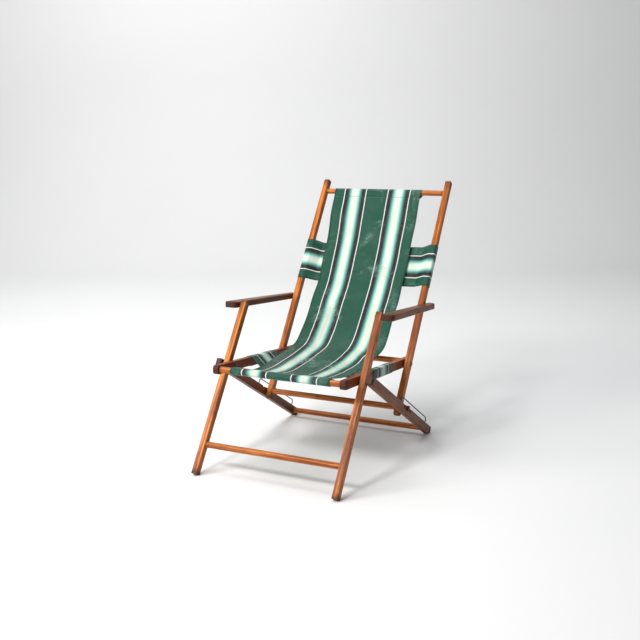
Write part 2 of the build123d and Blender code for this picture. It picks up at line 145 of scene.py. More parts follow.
def surface(name, points, flat=None):
    """A mesh of quads between the rows and columns of a grid of points.

    Point (i, j) has number i * columns + j, and quad (i, j) joins it to its next
    neighbours. flat holds each point's (across, along) in metres on the uncut cloth.
    """
    rows, columns = points.shape[:2]
    number = np.arange(rows * columns).reshape(rows, columns)
    quads = np.stack([number[:-1, :-1], number[:-1, 1:], number[1:, 1:], number[1:, :-1]], -1)
    mesh = bpy.data.meshes.new(name)
    mesh.from_pydata(points.reshape(-1, 3).tolist(), [], quads.reshape(-1, 4).tolist())
    if flat is not None:
        corner = np.zeros(len(mesh.loops), np.int32)
        mesh.loops.foreach_get("vertex_index", corner)
        layer = mesh.uv_layers.new(name="cloth")
        layer.data.foreach_set("uv", flat.reshape(-1, 2)[corner].astype(np.float32).ravel())
    mesh.shade_smooth()
    piece = bpy.data.objects.new(name, mesh)
    bpy.context.scene.collection.objects.link(piece)
    return piece


# %% Floor and wall as one sweep
FLOOR_AHEAD, FLOOR_BEHIND, COVE, WALL = 7.0, 4.0, 1.6, 6.0
heading = np.array([-math.sin(CAMERA_YAW), math.cos(CAMERA_YAW)])
sideways = np.array([heading[1], -heading[0]])


def studio_profile():
    """Floor, a quarter circle of radius COVE, then the wall, as (distance, height)."""
    quarter = np.linspace(0, math.pi / 2, 33)
    floor = np.stack([np.linspace(-FLOOR_AHEAD, FLOOR_BEHIND, 12), np.zeros(12)], 1)
    cove = np.stack([FLOOR_BEHIND + COVE * np.sin(quarter), COVE * (1 - np.cos(quarter))], 1)
    wall = np.array([[FLOOR_BEHIND + COVE, WALL]])
    return np.concatenate([floor, cove[1:], wall])


profile = studio_profile()
spread = np.linspace(-9, 9, 10)
studio_points = np.zeros((len(profile), len(spread), 3))
studio_points[..., :2] = (profile[:, None, :1] * heading + spread[None, :, None] * -sideways)
studio_points[..., 2] = profile[:, 1:]
studio = surface("studio_floor", studio_points)
print("studio sweep", studio_points.shape[:2], "points")

# %% Lights


def area_lamp(name, place, target, size, power, colour):
    """A square soft lamp that faces its target."""
    data = bpy.data.lights.new(name, "AREA")
    data.shape, data.size, data.energy, data.color = "SQUARE", size, power, colour
    lamp = bpy.data.objects.new(name, data)
    lamp.location = place
    lamp.rotation_euler = (Vector(target) - Vector(place)).to_track_quat("-Z", "Y").to_euler()
    lamp.visible_camera = False
    bpy.context.scene.collection.objects.link(lamp)
    return lamp


area_lamp("key_lamp", (-2.3, -3.0, 2.2), (0, 0, 0.45), 2.1, 135, (1.0, 0.98, 0.95))
area_lamp("gloss_lamp", (-0.5, -2.6, 2.6), (0, 0.1, 0.6), 0.6, 55, (1.0, 1.0, 1.0))
area_lamp("top_lamp", (-0.6, 0.4, 4.6), (0, 0, 0.0), 3.0, 95, (0.98, 0.99, 1.0))
area_lamp("wall_lamp", (-2.4, 1.8, 4.4), (-3.4, 4.6, 0.6), 2.6, 95, (1.0, 1.0, 1.0))
world = bpy.data.worlds.new("studio_air")
bpy.context.scene.world = world
world.use_nodes = True
world.node_tree.nodes["Background"].inputs["Color"].default_value = (0.93, 0.95, 1.0, 1)
world.node_tree.nodes["Background"].inputs["Strength"].default_value = 0.24
bpy.context.scene.view_settings.view_transform = "Standard"

# %% [markdown]
# ## Helpers for materials
#
# A material is a small graph of nodes. These helpers keep each graph readable: one adds a
# node and joins its inputs by name, and one starts a group with named sockets. Groups give
# out colours, masks and heights only, and the Principled shader stays in each material.

# %% Node helpers


def linear(red, green, blue):
    """A colour of 0 to 255 per channel, as the linear RGBA that the shader works in.

    Below 0.04045 the value is divided by 12.92, and above it is ((c + 0.055) / 1.055) ** 2.4.
    """
    c = np.array([red, green, blue]) / 255
    c = np.where(c <= 0.04045, c / 12.92, ((c + 0.055) / 1.055) ** 2.4)
    return (*c.tolist(), 1.0)


def feed(tree, entry, value):
    """Joins a socket to a node's input, or sets the input to a plain value."""
    if isinstance(value, bpy.types.NodeSocket):
        tree.links.new(value, entry)
    else:
        entry.default_value = value


def put(tree, kind, settings=None, **inputs):
    """Adds a node. An input named _0 is the first one, and so on."""
    node = tree.nodes.new(kind)
    for name, value in (settings or {}).items():
        setattr(node, name, value)
    for name, value in inputs.items():
        key = int(name[1:]) if name[0] == "_" else name.replace("_", " ")
        feed(tree, node.inputs[key], value)
    return node


def maths(tree, operation, *values, clamp=False):
    """The output of a Math node."""
    settings = {"operation": operation, "use_clamp": clamp}
    return put(tree, "ShaderNodeMath", settings,
               **{f"_{i}": v for i, v in enumerate(values)}).outputs[0]


def ramp(tree, value, stops):
    """A colour ramp from (position, colour) stops."""
    node = put(tree, "ShaderNodeValToRGB", Fac=value)
    elements = node.color_ramp.elements
    while len(elements) < len(stops):
        elements.new(0.5)
    for element, (position, colour) in zip(elements, sorted(stops)):
        element.position = position
        element.color = colour
    return node.outputs["Color"]


def blend_colours(tree, share, first, second, mode="MIX"):
    """The second colour over the first, by share."""
    node = tree.nodes.new("ShaderNodeMix")
    node.data_type, node.blend_type = "RGBA", mode
    for key, value in ((0, share), (6, first), (7, second)):
        feed(tree, node.inputs[key], value)
    return node.outputs[2]


def smooth_between(tree, value, low, high):
    """0 below low, 1 above high, and a smooth step between them. low may exceed high."""
    return put(tree, "ShaderNodeMapRange", {"interpolation_type": "SMOOTHSTEP"},
               Value=value, From_Min=low, From_Max=high).outputs["Result"]


SOCKETS = {"value": "NodeSocketFloat", "colour": "NodeSocketColor", "vector": "NodeSocketVector"}


def start_group(name, inputs, outputs):
    """A node group with named sockets. Gives its tree, its inputs and its output node."""
    tree = bpy.data.node_groups.new(name, "ShaderNodeTree")
    for label, (kind, value) in inputs.items():
        socket = tree.interface.new_socket(label, in_out="INPUT", socket_type=SOCKETS[kind])
        if value is not None:
            socket.default_value = value
    for label, kind in outputs.items():
        tree.interface.new_socket(label, in_out="OUTPUT", socket_type=SOCKETS[kind])
    entry = tree.nodes.new("NodeGroupInput")
    leave = tree.nodes.new("NodeGroupOutput")
    return tree, entry.outputs, leave


def finish_group(tree, leave, **outputs):
    """Joins a group's results to its output sockets."""
    for label, socket in outputs.items():
        tree.links.new(socket, leave.inputs[label.replace("_", " ")])
    return tree


def use_group(tree, group, **inputs):
    """Places a group in a material with its own values."""
    node = tree.nodes.new("ShaderNodeGroup")
    node.node_tree = group
    for name, value in inputs.items():
        feed(tree, node.inputs[name.replace("_", " ")], value)
    return node.outputs


def start_material(name):
    """A material with a Principled shader. Gives the material, its tree and the shader."""
    material = bpy.data.materials.new(name)
    material.use_nodes = True
    tree = material.node_tree
    return material, tree, tree.nodes["Principled BSDF"]


def finish_material(tree, shader, colour, roughness=None, height=None, metallic=None,
                    bump_depth=0.001):
    """Feeds a shader, with the height turned into a normal by a Bump node."""
    for name, socket in (("Base Color", colour), ("Roughness", roughness),
                         ("Metallic", metallic)):
        if socket is not None:
            tree.links.new(socket, shader.inputs[name])
    if height is not None:
        bump = put(tree, "ShaderNodeBump", Strength=1.0, Distance=bump_depth, Height=height)
        tree.links.new(bump.outputs["Normal"], shader.inputs["Normal"])


# %% [markdown]
# ## Shared effects
#
# Old varnish and old steel wear first at the edges. The wear group compares the true normal
# with one that is rounded over a few millimetres: where the two differ there is an edge.
# Noise then breaks the line, as years of handling do.

# %% Edge wear group


def make_edge_wear():
    """Mask = (1 - rounded normal . true normal) * gain, broken by noise."""
    tree, entry, leave = start_group(
        "edge wear", {"Point": ("vector", None), "Reach": ("value", 0.003),
                      "Gain": ("value", 6.0), "Patch Scale": ("value", 60.0)},
        {"Mask": "value"})
    rounded = put(tree, "ShaderNodeBevel", {"samples": 4}, Radius=entry["Reach"])
    true = put(tree, "ShaderNodeNewGeometry").outputs["Normal"]
    dot = put(tree, "ShaderNodeVectorMath", {"operation": "DOT_PRODUCT"},
              _0=rounded.outputs["Normal"], _1=true).outputs["Value"]
    edge = maths(tree, "MULTIPLY", maths(tree, "SUBTRACT", 1.0, dot), entry["Gain"], clamp=True)
    patches = put(tree, "ShaderNodeTexNoise", Vector=entry["Point"],
                  Scale=entry["Patch Scale"], Detail=4.0).outputs["Fac"]
    mask = maths(tree, "MULTIPLY", edge, smooth_between(tree, patches, 0.42, 0.62))
    return finish_group(tree, leave, Mask=mask)


edge_wear = make_edge_wear()

# %% [markdown]
# ### Timber
#
# The sticks are sawn from one straight-grained hardwood under an orange-brown varnish that
# has darkened at the ends and where hands and feet rub. Grain runs along each stick, so
# the group measures every point along and across the stick's own direction and stretches
# its noises lengthwise: broad tone, growth lines, and fine dark pores.

# %% Timber group
PALE_TIMBER, DEEP_TIMBER = (206, 122, 46), (120, 56, 18)


def make_timber():
    """Colour, gloss and relief of a varnished stick.

    along = point . Along, and the two other distances are point . Across and
    point . (Along x Across). Noise is read at (across, other, along * stretch).
    """
    tree, entry, leave = start_group(
        "varnished timber",
        {"Point": ("vector", None), "Along": ("vector", None), "Across": ("vector", None),
         "Low End": ("value", 0.0), "High End": ("value", 1.0), "Low Dark": ("value", 0.02),
         "High Dark": ("value", 0.02), "Offset": ("value", 0.0), "Wear": ("value", 0.0),
         "Pale": ("colour", linear(*PALE_TIMBER)), "Deep": ("colour", linear(*DEEP_TIMBER))},
        {"Colour": "colour", "Roughness": "value", "Height": "value"})
    third = put(tree, "ShaderNodeVectorMath", {"operation": "CROSS_PRODUCT"},
                _0=entry["Along"], _1=entry["Across"]).outputs["Vector"]

    def measure(direction):
        return put(tree, "ShaderNodeVectorMath", {"operation": "DOT_PRODUCT"},
                   _0=entry["Point"], _1=direction).outputs["Value"]

    along, across, other = measure(entry["Along"]), measure(entry["Across"]), measure(third)

    def grain_point(stretch):
        return put(tree, "ShaderNodeCombineXYZ", X=maths(tree, "ADD", across, entry["Offset"]),
                   Y=other, Z=maths(tree, "MULTIPLY", along, stretch)).outputs["Vector"]

    tone = put(tree, "ShaderNodeTexNoise", Vector=grain_point(0.12), Scale=38.0, Detail=3.0,
               Roughness=0.55).outputs["Fac"]
    bands = put(tree, "ShaderNodeTexWave", {"wave_type": "BANDS", "bands_direction": "X"},
                Vector=grain_point(0.05), Scale=75.0, Distortion=7.0, Detail=3.0,
                Detail_Scale=1.4, Detail_Roughness=0.6).outputs["Fac"]
    streaks = put(tree, "ShaderNodeTexNoise", Vector=grain_point(0.02), Scale=420.0,
                  Detail=4.0, Roughness=0.65).outputs["Fac"]
    pores = put(tree, "ShaderNodeTexNoise", Vector=grain_point(0.06), Scale=1500.0,
                Detail=1.0).outputs["Fac"]
    pore_mask = smooth_between(tree, pores, 0.60, 0.72)
    mixed = maths(tree, "ADD", maths(tree, "MULTIPLY", tone, 0.55),
                  maths(tree, "ADD", maths(tree, "MULTIPLY", bands, 0.28),
                        maths(tree, "MULTIPLY", streaks, 0.30)))
    share = smooth_between(tree, mixed, 0.78, 0.34)
    colour = blend_colours(tree, share, entry["Pale"], entry["Deep"])
    colour = blend_colours(tree, maths(tree, "MULTIPLY", pore_mask, 0.45), colour,
                           linear(58, 26, 12))

    stain = put(tree, "ShaderNodeTexNoise", Vector=entry["Point"], Scale=26.0,
                Detail=5.0).outputs["Fac"]
    ragged = maths(tree, "MULTIPLY", maths(tree, "SUBTRACT", stain, 0.5), 0.05)
    from_low = maths(tree, "ADD", maths(tree, "SUBTRACT", along, entry["Low End"]), ragged)
    from_high = maths(tree, "ADD", maths(tree, "SUBTRACT", entry["High End"], along), ragged)
    low_mask = put(tree, "ShaderNodeMapRange", {"interpolation_type": "SMOOTHSTEP"},
                   Value=from_low, From_Min=entry["Low Dark"], From_Max=0.0).outputs[0]
    high_mask = put(tree, "ShaderNodeMapRange", {"interpolation_type": "SMOOTHSTEP"},
                    Value=from_high, From_Min=entry["High Dark"], From_Max=0.0).outputs[0]
    ends = maths(tree, "MAXIMUM", low_mask, high_mask)
    colour = blend_colours(tree, maths(tree, "MULTIPLY", ends, 0.85), colour,
                           linear(56, 30, 20))
    grime = smooth_between(tree, stain, 0.56, 0.74)
    colour = blend_colours(tree, maths(tree, "MULTIPLY", grime, 0.35), colour,
                           linear(74, 38, 22))
    colour = blend_colours(tree, maths(tree, "MULTIPLY", entry["Wear"], 0.55), colour,
                           linear(204, 126, 62))
    roughness = maths(tree, "ADD", 0.30, maths(
        tree, "ADD", maths(tree, "MULTIPLY", stain, 0.22),
        maths(tree, "ADD", maths(tree, "MULTIPLY", entry["Wear"], 0.15),
              maths(tree, "MULTIPLY", ends, 0.18))))
    height = maths(tree, "SUBTRACT", maths(tree, "MULTIPLY", streaks, 0.22),
                   maths(tree, "ADD", maths(tree, "MULTIPLY", pore_mask, 0.30),
                         maths(tree, "MULTIPLY", entry["Wear"], 0.25)))
    return finish_group(tree, leave, Colour=colour, Roughness=roughness, Height=height)


timber = make_timber()


def timber_material(name, along, across, low_end, high_end, low_dark, high_dark, offset,
                    pale, deep):
    """A varnished stick that runs along one direction between two distances along it."""
    material, tree, shader = start_material(name)
    point = put(tree, "ShaderNodeTexCoord").outputs["Object"]
    wear = use_group(tree, edge_wear, Point=point, Reach=0.0025, Gain=7.0,
                     Patch_Scale=70.0)["Mask"]
    wood = use_group(tree, timber, Point=point, Along=along, Across=across,
                     Low_End=low_end, High_End=high_end, Low_Dark=low_dark,
                     High_Dark=high_dark, Offset=offset, Wear=wear,
                     Pale=linear(*pale), Deep=linear(*deep))
    finish_material(tree, shader, wood["Colour"], wood["Roughness"], wood["Height"],
                    bump_depth=0.0006)
    shader.inputs["Coat Weight"].default_value = 0.05
    shader.inputs["Coat Roughness"].default_value = 0.18
    shader.inputs["Specular IOR Level"].default_value = 0.20
    return material


# %% [markdown]
# ### One timber finish for each run of grain
#
# Sticks that share a direction could share one material, but then the grain would look the
# same on both. Each stick gets its own offset in the noise, and its own dark ends, found by
# measuring its CAD mesh along the stick. Arms, seat rails and rear legs get a darker pair of
# colours, which is painted shade for the sides that they turn to the camera.

# %% Give each stick its timber
CROSSWISE = (1.0, 0.0, 0.0)


def coat_node(node, material):
    """Puts a material on a CAD node in place of its own."""
    nodes[node].data.materials.clear()
    nodes[node].data.materials.append(material)


def vertices_of(node):
    """A node's vertices, one row each."""
    mesh = nodes[node].data
    points = np.zeros(len(mesh.vertices) * 3)
    mesh.vertices.foreach_get("co", points)
    return points.reshape(-1, 3)


def extent_along(node, direction):
    """Lowest and highest of point . direction over a node's vertices."""
    reach = vertices_of(node) @ np.array(direction)
    return float(reach.min()), float(reach.max())



def long_direction(node):
    """The direction in the side view along which a stick is longest.

    It is the first principal axis: the eigenvector of the points' covariance with the
    largest eigenvalue, turned so that it points to the rear.
    """
    side = vertices_of(node)[:, 1:]
    values, vectors = np.linalg.eigh(np.cov((side - side.mean(0)).T))
    axis = vectors[:, values.argmax()]
    return axis * np.sign(axis[0])


along_rear_leg = long_direction("left_rear_leg")
lengthwise = {"post": up_post, "rail": along_rail, "rear leg": along_rear_leg}
stick_kinds = {
    "left_back_post": ("post", 0.035, 0.040), "right_back_post": ("post", 0.035, 0.040),
    "left_front_leg": ("post", 0.030, 0.015), "right_front_leg": ("post", 0.030, 0.015),
    "left_seat_rail": ("rail", 0.045, 0.030), "right_seat_rail": ("rail", 0.045, 0.030),
    "left_arm": ("rail", 0.030, 0.040), "right_arm": ("rail", 0.030, 0.040),
    "left_rear_leg": ("rear leg", 0.040, 0.030), "right_rear_leg": ("rear leg", 0.040, 0.030),
}
# Arms, seat rails and rear legs get darker colour pairs: painted shade for the sides that they
# turn to the camera, away from the key lamp.
shaded_side_tones = {"arm": ((128, 72, 34), (68, 32, 14)), "rail": ((146, 70, 28), (78, 30, 12)),
         "rear_leg": ((134, 72, 30), (70, 32, 13))}
for number, (node, (kind, low_dark, high_dark)) in enumerate(stick_kinds.items()):
    side = lengthwise[kind]
    along = (0.0, float(side[0]), float(side[1]))
    across = (0.0, float(-side[1]), float(side[0]))
    low_end, high_end = extent_along(node, along)
    pale, deep = next((tone for ending, tone in shaded_side_tones.items() if node.endswith(ending)),
                      (PALE_TIMBER, DEEP_TIMBER))
    coat_node(node, timber_material(node.replace("_", " ") + " timber", along, across, low_end,
                                    high_end, low_dark, high_dark, 0.37 * number, pale, deep))
print("sticks finished", len(stick_kinds))

# %% Dowels and stretchers
DOWEL_DARK, END_PIECE_DARK = 0.03, 0.012
DOWEL_TONES = ((208, 126, 54), (128, 62, 24))
END_PIECE_TONES = ((90, 46, 24), (48, 24, 14))
cross_sticks = ["top_dowel", "lower_dowel", "front_dowel", "rear_dowel", "front_stretcher",
                "rear_stretcher", "left_dowel_end", "right_dowel_end"]
for number, node in enumerate(cross_sticks):
    low_end, high_end = extent_along(node, CROSSWISE)
    end_piece = node.endswith("dowel_end")
    dark = END_PIECE_DARK if end_piece else DOWEL_DARK
    pale, deep = END_PIECE_TONES if end_piece else DOWEL_TONES
    coat_node(node, timber_material(node.replace("_", " ") + " timber", CROSSWISE,
                                    (0.0, 1.0, 0.0), low_end, high_end, dark, dark,
                                    5.1 + 0.29 * number, pale, deep))
print("cross sticks finished", len(cross_sticks))

# %% [markdown]
# ### Steel
#
# The guard wires and the fasteners are dull, slightly rusted steel. The colour wanders
# between grey metal and brown rust, rust is rough and hardly metallic, and rubbed edges
# shine a little.

# %% Steel group and materials


def make_old_steel():
    """Rust share = smooth step of noise between two levels, less the worn edges."""
    tree, entry, leave = start_group(
        "old steel", {"Point": ("vector", None), "Metal": ("colour", linear(120, 118, 114)),
                      "Rust": ("colour", linear(84, 52, 34)), "Rust Level": ("value", 0.55),
                      "Wear": ("value", 0.0)},
        {"Colour": "colour", "Roughness": "value", "Metallic": "value", "Height": "value"})
    spots = put(tree, "ShaderNodeTexNoise", Vector=entry["Point"], Scale=210.0, Detail=6.0,
                Roughness=0.62).outputs["Fac"]
    fine = put(tree, "ShaderNodeTexNoise", Vector=entry["Point"], Scale=1400.0,
               Detail=2.0).outputs["Fac"]
    rusty = put(tree, "ShaderNodeMapRange", {"interpolation_type": "SMOOTHSTEP"}, Value=spots,
                From_Min=entry["Rust Level"],
                From_Max=maths(tree, "ADD", entry["Rust Level"], 0.14)).outputs[0]
    rust = maths(tree, "SUBTRACT", rusty, entry["Wear"], clamp=True)
    colour = blend_colours(tree, rust, entry["Metal"], entry["Rust"])
    roughness = maths(tree, "ADD", maths(tree, "MULTIPLY", rust, 0.35),
                      maths(tree, "ADD", 0.34, maths(tree, "MULTIPLY", fine, 0.12)))
    metallic = maths(tree, "SUBTRACT", 0.95, maths(tree, "MULTIPLY", rust, 0.8))
    height = maths(tree, "ADD", maths(tree, "MULTIPLY", rust, fine),
                   maths(tree, "MULTIPLY", fine, 0.2))
    return finish_group(tree, leave, Colour=colour, Roughness=roughness, Metallic=metallic,
                        Height=height)


old_steel = make_old_steel()


def steel_material(name, metal, rust, rust_level):
    """Dull steel with its own colours and its own share of rust."""
    material, tree, shader = start_material(name)
    point = put(tree, "ShaderNodeTexCoord").outputs["Object"]
    wear = use_group(tree, edge_wear, Point=point, Reach=0.0008, Gain=5.0,
                     Patch_Scale=300.0)["Mask"]
    steel = use_group(tree, old_steel, Point=point, Metal=linear(*metal), Rust=linear(*rust),
                      Rust_Level=rust_level, Wear=wear)
    finish_material(tree, shader, steel["Colour"], steel["Roughness"], steel["Height"],
                    steel["Metallic"], bump_depth=0.0002)
    return material


wire_steel = steel_material("guard wire steel", (74, 70, 66), (62, 42, 30), 0.52)
fastener_steel = steel_material("fastener steel", (104, 100, 95), (78, 56, 42), 0.50)
nail_steel = steel_material("nail steel", (70, 64, 58), (60, 40, 28), 0.45)
metals = {"guard_wire": wire_steel, "nails": nail_steel, "bolt": fastener_steel,
          "nuts": fastener_steel, "screws": fastener_steel, "washers": fastener_steel}
for node in nodes:
    for ending, material in metals.items():
        if node.endswith(ending):
            coat_node(node, material)

# %% [markdown]
# ### Striped canvas
#
# The cloth is a tight, glazed cotton canvas. Bottle green runs along the middle and the
# edges, and each group of stripes goes from a cream heart through mint and teal to black,
# and ends in a thin white line. The stripe's colour depends on nothing but the distance
# from the middle of its group, so one ramp serves both groups of the sling and the single
# group of each band. A weave, soft creases, pale rubbed patches and broad pale smears, which
# are partly a painted sheen, go over it.

# %% Stripe group
CLOTH_WIDTH = 0.357
GROUP_HALF = 0.0448
LINE_HALF = 0.0014
GREEN = (0, 74, 55)


def make_stripes():
    """Distance d = least of |across - middle A| and |across - middle B|, through a ramp."""
    tree, entry, leave = start_group(
        "stripe colours", {"Across": ("value", 0.0), "Along": ("value", 0.0),
                           "Middle A": ("value", 0.1), "Middle B": ("value", 0.1),
                           "Stain": ("value", 0.0)},
        {"Colour": "colour", "Pale Share": "value"})
    yarn_point = put(tree, "ShaderNodeCombineXYZ",
                     X=maths(tree, "MULTIPLY", entry["Across"], 60.0),
                     Y=maths(tree, "MULTIPLY", entry["Along"], 700.0)).outputs["Vector"]
    jitter = put(tree, "ShaderNodeTexNoise", Vector=yarn_point, Scale=1.0,
                 Detail=1.0).outputs["Fac"]
    shifted = maths(tree, "ADD", entry["Across"],
                    maths(tree, "MULTIPLY", maths(tree, "SUBTRACT", jitter, 0.5), 0.0012))
    to_a = maths(tree, "ABSOLUTE", maths(tree, "SUBTRACT", shifted, entry["Middle A"]))
    to_b = maths(tree, "ABSOLUTE", maths(tree, "SUBTRACT", shifted, entry["Middle B"]))
    distance = maths(tree, "MINIMUM", to_a, to_b)
    place = maths(tree, "DIVIDE", distance, 0.06)
    edge, line = GROUP_HALF, LINE_HALF
    stops = [(0.0, (228, 229, 208)), (0.006, (224, 233, 216)), (0.0105, (198, 227, 216)),
             (0.0155, (150, 208, 192)), (0.0205, (98, 162, 148)), (0.0250, (58, 108, 99)),
             (0.0290, (30, 56, 54)), (0.0320, (18, 24, 25)), (edge - line - 0.0003, (20, 25, 26)),
             (edge - line, (242, 242, 234)), (edge + line, (242, 242, 234)),
             (edge + line + 0.0003, GREEN), (0.059, GREEN)]
    colour = ramp(tree, place, [(d / 0.06, linear(*c)) for d, c in stops])
    heart = smooth_between(tree, distance, 0.006, 0.001)
    stained = maths(tree, "MULTIPLY", maths(tree, "MULTIPLY", heart, entry["Stain"]), 0.22)
    colour = blend_colours(tree, stained, colour, linear(214, 176, 140))
    pale = smooth_between(tree, distance, 0.022, 0.014)
    return finish_group(tree, leave, Colour=colour, Pale_Share=pale)


stripe_colours = make_stripes()

# %% [markdown]
# ### Weave, scuffs and stitches
#
# Up close the canvas is a plain weave of about fourteen threads to the centimetre. Two sine
# waves at right angles, multiplied, give its over and under. Scuffs are where the glaze is
# rubbed dull and pale. A stitch row is a line of short raised threads with a pinched
# groove, placed by its distance from the seam.

# %% Weave group and stitch group


def make_weave():
    """Height = |sin(across)| on odd picks and |sin(along)| on even ones, by sign of a product."""
    tree, entry, leave = start_group(
        "canvas weave", {"Across": ("value", 0.0), "Along": ("value", 0.0),
                         "Pitch": ("value", 0.0007)}, {"Height": "value", "Slub": "value"})
    turn_share = maths(tree, "DIVIDE", math.pi, entry["Pitch"])
    sine_across = maths(tree, "SINE", maths(tree, "MULTIPLY", entry["Across"], turn_share))
    sine_along = maths(tree, "SINE", maths(tree, "MULTIPLY", entry["Along"], turn_share))
    product = maths(tree, "MULTIPLY", sine_across, sine_along)
    over = smooth_between(tree, product, -0.08, 0.08)
    first = maths(tree, "MULTIPLY", maths(tree, "ABSOLUTE", sine_across), over)
    second = maths(tree, "MULTIPLY", maths(tree, "ABSOLUTE", sine_along),
                   maths(tree, "SUBTRACT", 1.0, over))
    slub_point = put(tree, "ShaderNodeCombineXYZ",
                     X=maths(tree, "MULTIPLY", entry["Across"], 1400.0),
                     Y=maths(tree, "MULTIPLY", entry["Along"], 70.0)).outputs["Vector"]
    slub = put(tree, "ShaderNodeTexNoise", Vector=slub_point, Scale=1.0,
               Detail=2.0).outputs["Fac"]
    height = maths(tree, "ADD", maths(tree, "ADD", first, second),
                   maths(tree, "MULTIPLY", slub, 0.8))
    return finish_group(tree, leave, Height=height, Slub=slub)


def make_stitches():
    """Stitch mask: within half a thread of the row, and inside the long part of a pitch."""
    tree, entry, leave = start_group(
        "stitch row", {"Off Row": ("value", 0.0), "Along Row": ("value", 0.0),
                       "Pitch": ("value", 0.0035), "Thread": ("value", 0.0007)},
        {"Mask": "value", "Height": "value"})
    near = smooth_between(tree, maths(tree, "ABSOLUTE", entry["Off Row"]), 0.0009, 0.0003)
    share = maths(tree, "FRACT", maths(tree, "DIVIDE", entry["Along Row"], entry["Pitch"]))
    long_part = smooth_between(tree, maths(tree, "ABSOLUTE", maths(tree, "SUBTRACT", share, 0.5)),
                               0.38, 0.30)
    mask = maths(tree, "MULTIPLY", near, long_part)
    groove = smooth_between(tree, maths(tree, "ABSOLUTE", entry["Off Row"]), 0.0035, 0.0)
    height = maths(tree, "SUBTRACT", maths(tree, "MULTIPLY", mask, 0.8), groove)
    return finish_group(tree, leave, Mask=mask, Height=height)


canvas_weave = make_weave()
stitch_row = make_stitches()

# %% Canvas material
WEAVE_SHARE, CREASE_SHARE = 0.07, 2.2


def canvas_material(name, middle_a, middle_b, seams_along=(), seams_across=(), stain=0.0,
                    seed=0.0):
    """Glazed striped canvas. Seams are distances along or across the flat cloth."""
    material, tree, shader = start_material(name)
    flat = put(tree, "ShaderNodeUVMap", {"uv_map": "cloth"}).outputs["UV"]
    split = put(tree, "ShaderNodeSeparateXYZ", Vector=flat).outputs
    across, along = split["X"], split["Y"]
    stain_noise = put(tree, "ShaderNodeTexNoise", Vector=flat, Scale=9.0,
                      Detail=3.0).outputs["Fac"]
    stain_share = maths(tree, "MULTIPLY", smooth_between(tree, stain_noise, 0.35, 0.6), stain)
    stripes = use_group(tree, stripe_colours, Across=across, Along=along, Middle_A=middle_a,
                        Middle_B=middle_b, Stain=stain_share)
    weave = use_group(tree, canvas_weave, Across=across, Along=along)
    moved = put(tree, "ShaderNodeVectorMath", {"operation": "ADD"}, _0=flat,
                _1=(seed, 2 * seed, seed)).outputs["Vector"]
    broad = put(tree, "ShaderNodeTexNoise", Vector=moved, Scale=7.0, Detail=6.0,
                Roughness=0.62, Distortion=0.6).outputs["Fac"]
    fine = put(tree, "ShaderNodeTexNoise", Vector=moved, Scale=55.0, Detail=5.0,
               Roughness=0.7, Distortion=1.2).outputs["Fac"]
    scuffs = maths(tree, "MULTIPLY", smooth_between(tree, broad, 0.54, 0.68),
                   smooth_between(tree, fine, 0.44, 0.62))
    crease_noise = put(tree, "ShaderNodeTexNoise", {"noise_type": "RIDGED_MULTIFRACTAL"},
                       Vector=moved, Scale=12.0, Detail=1.0, Roughness=0.5,
                       Distortion=0.8).outputs["Fac"]
    colour = stripes["Colour"]
    colour = blend_colours(tree, maths(tree, "MULTIPLY", weave["Slub"], 0.18), colour,
                           linear(36, 52, 46), "MULTIPLY")
    colour = blend_colours(tree, maths(tree, "MULTIPLY", scuffs, 0.30), colour,
                           linear(150, 182, 170))
    # Broad pale smears: partly glaze rubbed pale, partly a painted sheen that stands in for the
    # glaze's highlights.
    smears_and_sheen = smooth_between(tree, broad, 0.50, 0.66)
    colour = blend_colours(tree, maths(tree, "MULTIPLY", smears_and_sheen, 0.16), colour,
                           linear(128, 166, 154))
    shade = smooth_between(tree, broad, 0.36, 0.66)
    colour = blend_colours(tree, maths(tree, "MULTIPLY", shade, 0.10), colour,
                           linear(120, 118, 96), "MULTIPLY")
    height = maths(tree, "ADD", maths(tree, "MULTIPLY", weave["Height"], WEAVE_SHARE),
                   maths(tree, "MULTIPLY", crease_noise, CREASE_SHARE))
    for row_socket, run_socket, seams in ((along, across, seams_along),
                                          (across, along, seams_across)):
        for place in seams:
            row = use_group(tree, stitch_row, Off_Row=maths(tree, "SUBTRACT", row_socket, place),
                            Along_Row=run_socket)
            colour = blend_colours(tree, maths(tree, "MULTIPLY", row["Mask"], 0.8), colour,
                                   linear(22, 48, 40))
            height = maths(tree, "ADD", height, maths(tree, "MULTIPLY", row["Height"], 0.5))
    roughness = maths(tree, "ADD", 0.20, maths(
        tree, "ADD", maths(tree, "MULTIPLY", fine, 0.10), maths(tree, "MULTIPLY", scuffs, 0.18)))
    finish_material(tree, shader, colour, roughness, height, bump_depth=0.0026)
    shader.inputs["Specular IOR Level"].default_value = 0.36
    return material


# %% [markdown]
# ## The sling
#
# On the real chair the sling is one length of canvas with a sleeve sewn at each end. It
# hangs from the top dowel, runs just behind the posts' faces, leaves them in a long hollow
# and comes up over the front dowel. A cloth simulation would find some such curve, but not
# this one, because old canvas has stretched to its owner. So the course is laid through
# measured places with a smooth spline, and folds are added as small moves along the normal.

# %% Curves in the side view


